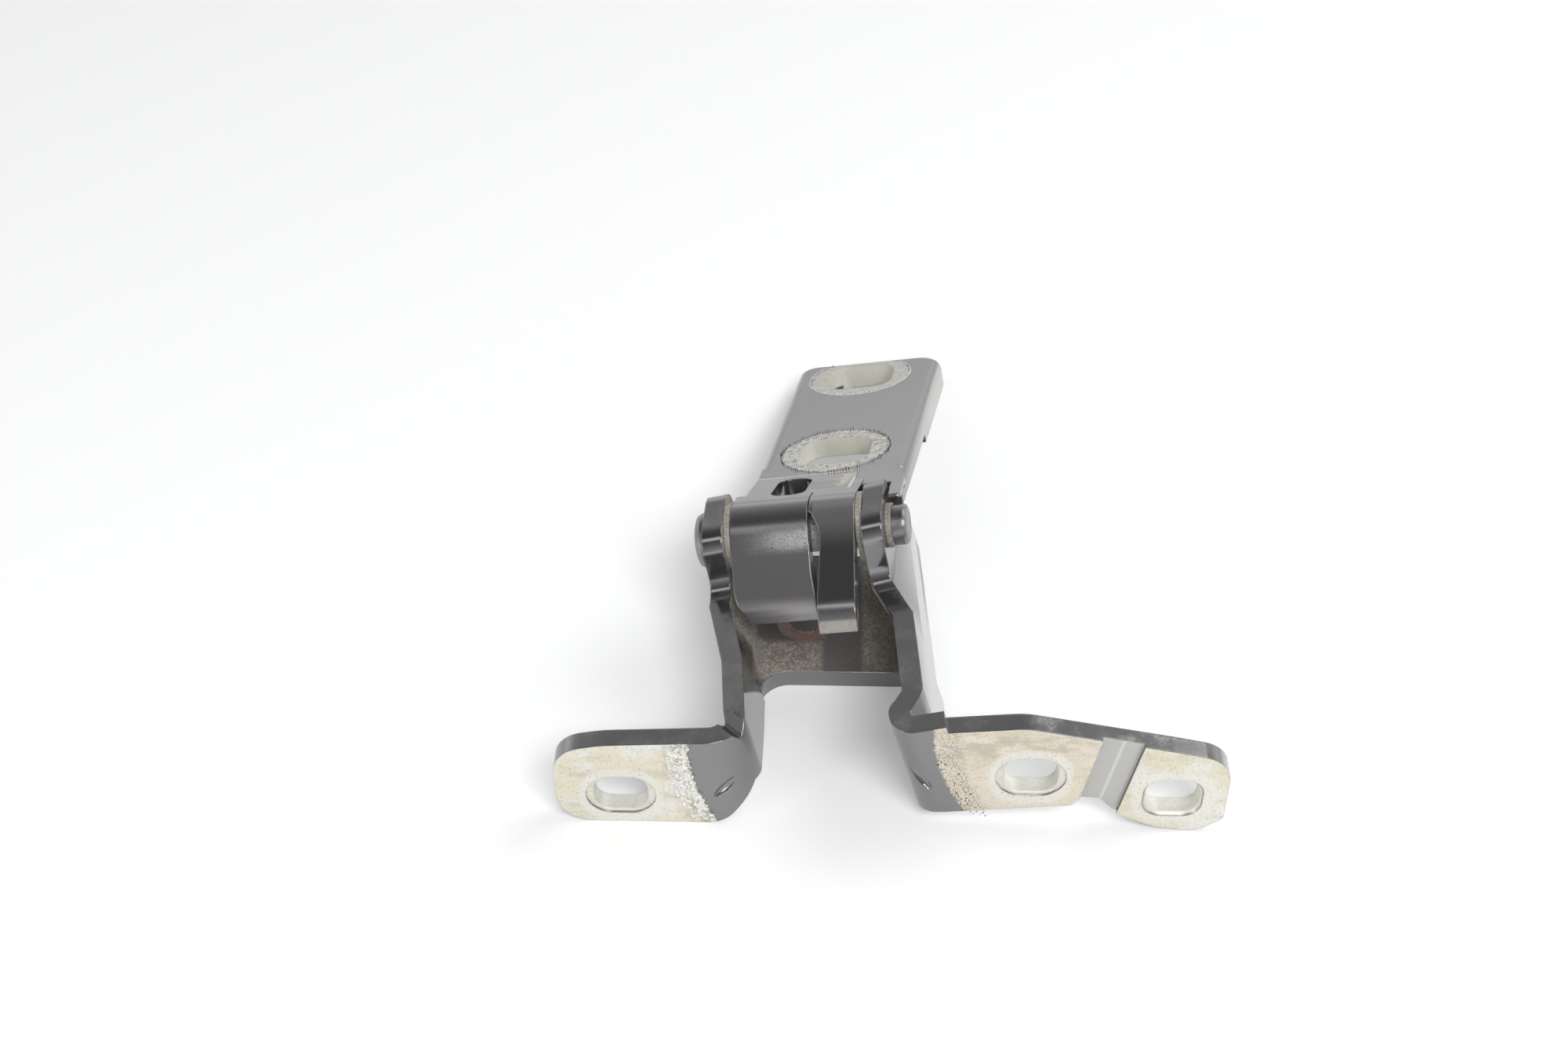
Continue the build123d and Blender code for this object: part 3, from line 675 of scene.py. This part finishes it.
def flakeTree():
    tree, inputs, output = newTree("scatteredFlakes", [
        ("Density", "NodeSocketFloat"), ("Patches", "NodeSocketFloat"), ("Width", "NodeSocketFloat"),
        ("Thickness", "NodeSocketFloat"), ("Seed", "NodeSocketInt"), ("Material", "NodeSocketMaterial")])
    patches = tree.nodes.new("ShaderNodeTexNoise")
    patches.inputs["Detail"].default_value = 3
    tree.links.new(inputs.outputs["Patches"], patches.inputs["Scale"])
    keep = tree.nodes.new("ShaderNodeMapRange")
    keep.inputs["From Min"].default_value = flakeShape["patchFrom"]
    keep.inputs["From Max"].default_value = flakeShape["patchTo"]
    tree.links.new(patches.outputs["Fac"], keep.inputs["Value"])
    amount = tree.nodes.new("ShaderNodeMath")
    amount.operation = "MULTIPLY"
    tree.links.new(keep.outputs["Result"], amount.inputs[0])
    tree.links.new(inputs.outputs["Density"], amount.inputs[1])
    scatter = tree.nodes.new("GeometryNodeDistributePointsOnFaces")
    tree.links.new(inputs.outputs["Geometry"], scatter.inputs["Mesh"])
    tree.links.new(amount.outputs[0], scatter.inputs["Density"])
    tree.links.new(inputs.outputs["Seed"], scatter.inputs["Seed"])
    across = tree.nodes.new("ShaderNodeCombineXYZ")
    for side in ("X", "Y"):
        tree.links.new(inputs.outputs["Width"], across.inputs[side])
    tree.links.new(inputs.outputs["Thickness"], across.inputs["Z"])
    seed = inputs.outputs["Seed"]
    scale = variedSize(tree, across.outputs[0], flakeShape, seed)
    spin = randomBetween(tree, flakeShape["turnFrom"], flakeShape["turnTo"], seed)
    turned = tree.nodes.new("FunctionNodeRotateRotation")
    turned.rotation_space = "LOCAL"
    tree.links.new(scatter.outputs["Rotation"], turned.inputs["Rotation"])
    tree.links.new(spin, turned.inputs["Rotate By"])
    return finishTree(tree, inputs, output, scatter.outputs["Points"], turned.outputs[0], scale)


def tickTree():
    tree, inputs, output = newTree("ticksAlongPath", [
        ("Count", "NodeSocketInt"), ("Length", "NodeSocketFloat"), ("Width", "NodeSocketFloat"),
        ("Seed", "NodeSocketInt"), ("Material", "NodeSocketMaterial")])
    path = tree.nodes.new("GeometryNodeMeshToCurve")
    tree.links.new(inputs.outputs["Geometry"], path.inputs["Mesh"])
    steps = tree.nodes.new("GeometryNodeCurveToPoints")
    steps.mode = "COUNT"
    tree.links.new(path.outputs[0], steps.inputs["Curve"])
    tree.links.new(inputs.outputs["Count"], steps.inputs["Count"])
    size = tree.nodes.new("ShaderNodeCombineXYZ")
    tree.links.new(inputs.outputs["Length"], size.inputs["X"])
    for side in ("Y", "Z"):
        tree.links.new(inputs.outputs["Width"], size.inputs[side])
    scale = variedSize(tree, size.outputs[0], tickShape, inputs.outputs["Seed"])
    sideways = tree.nodes.new("ShaderNodeVectorMath")
    sideways.operation = "CROSS_PRODUCT"
    tree.links.new(steps.outputs["Tangent"], sideways.inputs[0])
    tree.links.new(steps.outputs["Normal"], sideways.inputs[1])
    aim = tree.nodes.new("FunctionNodeAlignRotationToVector")
    aim.axis = "X"
    tree.links.new(sideways.outputs[0], aim.inputs["Vector"])
    return finishTree(tree, inputs, output, steps.outputs["Points"], aim.outputs[0], scale)


def grown(name, mesh, tree, settings, body):
    source = bpy.data.objects.new(name + "Source", mesh)
    scene.collection.objects.link(source)
    growth = source.modifiers.new("growth", "NODES")
    growth.node_group = tree
    for item in tree.interface.items_tree:
        if item.in_out == "INPUT" and item.name in settings:
            growth[item.identifier] = settings[item.name]
    shown = source.evaluated_get(bpy.context.evaluated_depsgraph_get())
    made = bpy.data.objects.new(name, bpy.data.meshes.new_from_object(shown))
    source.modifiers.remove(growth)
    bpy.data.objects.remove(source)
    scene.collection.objects.link(made)
    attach(made, body)
    print(name, len(made.data.polygons))


def bandMesh(name, near, far):  # strip between two rows of points
    mesh = bpy.data.meshes.new(name)
    count = len(near)
    faces = [(i, i + 1, count + i + 1, count + i) for i in range(count - 1)]
    mesh.from_pydata([tuple(point) for point in near + far], [], faces)
    return mesh


def pathMesh(name, points, closed):
    mesh = bpy.data.meshes.new(name)
    count = len(points)
    edges = [(i, (i + 1) % count) for i in range(count if closed else count - 1)]
    mesh.from_pydata([tuple(point) for point in points], edges, [])
    return mesh


def onStrap(along, back, out):
    return pinPoint + (pinAlong * along + strapBack * back + strapOut * out) / 1000


def onCircle(radius, angle):
    return radius * math.cos(math.radians(angle)), radius * math.sin(math.radians(angle))


edgeSettings = {
    "steps": 14,
    "leftBand": (-5.2, 0.2, -8.0, 16.0),      # from and to across the bend, then up the foot
    "rightBand": (-0.2, 4.5, -5.5, 15.5),
    "front": -0.01,
}


def edgeRow(edge, offset, low, high):
    top, start, curve = edge
    steps = edgeSettings["steps"]
    row = []
    for i in range(steps):
        z = low + (high - low) * i / (steps - 1)
        row.append(Vector((start + curve * (top - z) ** 2 + offset, edgeSettings["front"], z)) / 1000)
    return row


def edgeBand(name, edge, band):
    near, far, low, high = band
    return bandMesh(name, edgeRow(edge, near, low, high), edgeRow(edge, far, low, high))


flakes = flakeTree()
ticks = tickTree()
silverFlake = chipMaterial("silverFlake", colour(0.86, 0.85, 0.81), 0.3, 0.25)
darkSpeck = chipMaterial("darkSpeck", colour(0.06, 0.052, 0.045), 0.6, 0.0)

flakeSettings = {
    "Density": 3.0e6,
    "Patches": 550.0,
    "Width": 0.0011,
    "Thickness": 0.00025,
    "Seed": 4,
    "Material": silverFlake,
}
flakeBand = edgeBand("flakeBand", bracketLooks["leftEdge"], edgeSettings["leftBand"])
grown("paintFlakes", flakeBand, flakes, flakeSettings, "bracket")

speckSettings = {
    "Density": 1.8e6,
    "Patches": 400.0,
    "Width": 0.0006,
    "Thickness": 0.0001,
    "Seed": 7,
    "Material": darkSpeck,
}
speckBand = edgeBand("speckBand", bracketLooks["rightEdge"], edgeSettings["rightBand"])
grown("paintSpecks", speckBand, flakes, speckSettings, "bracket")

angleStep = 5
ringSettings = {
    "margin": 0.3,                            # outside the bare ring
    "out": 5.1,                               # the strap's top face, off the pin line
    "arcs": ((0, 360), (130, 410)),           # the far ring stops at the strap's end
    "materials": (darkSpeck, silverFlake),
    "firstSeed": 11,
}
for index, (start, end) in enumerate(ringSettings["arcs"]):
    circle = []
    for angle in range(start, end, angleStep):
        across, down = onCircle(strapLooks["ringRadius"] + ringSettings["margin"], angle)
        circle.append(onStrap(strapLooks["ringAcross"] + across, strapLooks["rings"][index] + down,
                              ringSettings["out"]))
    tickSettings = {
        "Count": 120,
        "Length": 0.0014,
        "Width": 0.0003,
        "Seed": ringSettings["firstSeed"] + index,
        "Material": ringSettings["materials"][index],
    }
    path = pathMesh("ringPath", circle, end - start == 360)
    grown("ringTicks_%d" % index, path, ticks, tickSettings, "strap")

smearSettings = {
    "Count": 22,
    "Length": 0.0016,
    "Width": 0.00016,
    "Seed": 21,
    "Material": silverFlake,
}
smearStart = 200
smearEnd = 300
smearHeight = -4.1
smearX, smearY, smearInner, smearOuter = bracketLooks["smear"]
arc = []
for angle in range(smearStart, smearEnd, angleStep):
    across, down = onCircle(smearInner, angle)
    arc.append(Vector((smearX + across, smearY + down, smearHeight)) / 1000)
grown("smearTicks", pathMesh("smearPath", arc, False), ticks, smearSettings, "bracket")
print("flakes and ticks done")

# Floor, backdrop, lamps and camera, in metres.
studio = {
    "floorHalf": 3.0,
    "floorColour": colour(0.90, 0.905, 0.91),
    "floorGlow": 0.2,
    "worldLean": -0.2,           # the front of the room is darker than the back
    "worldSteps": [(0.0, 1.2), (0.10, 1.15), (0.30, 0.66), (0.62, 0.34), (0.86, 0.12), (1.0, 0.06)],
    "lampAim": (0.06, 0.06, 0.0),
    "lamps": [                   # name, place, width, height, power in watts
        ("frontLamp", (0.35, -0.73, 1.0), 0.6, 0.4, 9),
        ("kickLamp", (-0.42, -0.46, 1.12), 0.5, 0.2, 0.5),
        ("rightLamp", (0.85, 0.5, 1.0), 0.8, 0.6, 5),
        ("leftLamp", (-0.9, -0.75, 0.35), 0.5, 0.4, 2.5),
    ],
}


def floorMaterial():
    material = bpy.data.materials.new("paleFloor")
    material.use_nodes = True
    tree = material.node_tree
    tree.nodes.clear()
    diffuse = tree.nodes.new("ShaderNodeBsdfDiffuse")
    diffuse.inputs["Color"].default_value = studio["floorColour"]
    glow = tree.nodes.new("ShaderNodeEmission")
    glow.inputs["Color"].default_value = colour(1, 1, 1)
    path = tree.nodes.new("ShaderNodeLightPath")
    seen = tree.nodes.new("ShaderNodeMath")
    seen.operation = "MAXIMUM"
    tree.links.new(path.outputs["Is Camera Ray"], seen.inputs[0])
    tree.links.new(path.outputs["Is Glossy Ray"], seen.inputs[1])
    strength = tree.nodes.new("ShaderNodeMath")
    strength.operation = "MULTIPLY"
    strength.inputs[1].default_value = studio["floorGlow"]
    tree.links.new(seen.outputs[0], strength.inputs[0])
    tree.links.new(strength.outputs[0], glow.inputs["Strength"])
    both = tree.nodes.new("ShaderNodeAddShader")
    tree.links.new(diffuse.outputs[0], both.inputs[0])
    tree.links.new(glow.outputs[0], both.inputs[1])
    output = tree.nodes.new("ShaderNodeOutputMaterial")
    tree.links.new(both.outputs[0], output.inputs["Surface"])
    return material


def floor(half, height):
    mesh = bpy.data.meshes.new("paleFloor")
    corners = [(-half, -half, height), (half, -half, height), (half, half, height), (-half, half, height)]
    mesh.from_pydata(corners, [], [(0, 1, 2, 3)])
    mesh.materials.append(floorMaterial())
    made = bpy.data.objects.new("paleFloor", mesh)
    scene.collection.objects.link(made)


def studioWorld():  # bright at the horizon and dark overhead, plain white for the camera
    world = bpy.data.worlds.new("studioWorld")
    world.use_nodes = True
    tree = world.node_tree
    tree.nodes.clear()
    direction = tree.nodes.new("ShaderNodeTexCoord")
    parts = tree.nodes.new("ShaderNodeSeparateXYZ")
    tree.links.new(direction.outputs["Generated"], parts.inputs[0])
    ramp = tree.nodes.new("ShaderNodeValToRGB")
    steps = studio["worldSteps"]
    while len(ramp.color_ramp.elements) < len(steps):
        ramp.color_ramp.elements.new(1.0)
    for element, (height, shade) in zip(ramp.color_ramp.elements, steps):
        element.position = height
        element.color = colour(shade, shade, shade)
    lean = tree.nodes.new("ShaderNodeMath")
    lean.operation = "MULTIPLY_ADD"
    lean.inputs[1].default_value = studio["worldLean"]
    tree.links.new(parts.outputs[1], lean.inputs[0])
    tree.links.new(parts.outputs[2], lean.inputs[2])
    tree.links.new(lean.outputs[0], ramp.inputs[0])
    path = tree.nodes.new("ShaderNodeLightPath")
    seen = tree.nodes.new("ShaderNodeMix")
    seen.data_type = "RGBA"
    seen.inputs[7].default_value = colour(1, 1, 1)
    tree.links.new(path.outputs["Is Camera Ray"], seen.inputs[0])
    tree.links.new(ramp.outputs[0], seen.inputs[6])
    background = tree.nodes.new("ShaderNodeBackground")
    tree.links.new(seen.outputs[2], background.inputs["Color"])
    output = tree.nodes.new("ShaderNodeOutputWorld")
    tree.links.new(background.outputs[0], output.inputs["Surface"])
    return world


def softLamp(name, place, aim, wide, high, power):
    light = bpy.data.lights.new(name, "AREA")
    light.shape = "RECTANGLE"
    light.size = wide
    light.size_y = high
    light.energy = power
    made = bpy.data.objects.new(name, light)
    scene.collection.objects.link(made)
    made.location = place
    made.rotation_euler = (Vector(aim) - Vector(place)).to_track_quat("-Z", "Y").to_euler()


floor(studio["floorHalf"], cadBox[0][2])
scene.world = studioWorld()
for name, place, wide, high, power in studio["lamps"]:
    softLamp(name, place, studio["lampAim"], wide, high, power)

cameraPlace = {
    "place": Vector((0.04582, -0.36162, 0.4117)),
    "tilt": 42.0,               # degrees below level
    "swing": 1.27,              # degrees off straight back
    "lens": 54.0,
    "sensor": 36.0,
    "nearest": 0.01,
}
camera = bpy.data.cameras.new("photoCamera")
camera.lens = cameraPlace["lens"]
camera.sensor_width = cameraPlace["sensor"]
camera.clip_start = cameraPlace["nearest"]
cameraObject = bpy.data.objects.new("photoCamera", camera)
scene.collection.objects.link(cameraObject)
cameraObject.location = cameraPlace["place"]
tilt = math.radians(90 - cameraPlace["tilt"])
cameraObject.rotation_euler = (tilt, 0, math.radians(cameraPlace["swing"]))
scene.camera = cameraObject
scene.view_settings.view_transform = "Standard"
print("studio done")
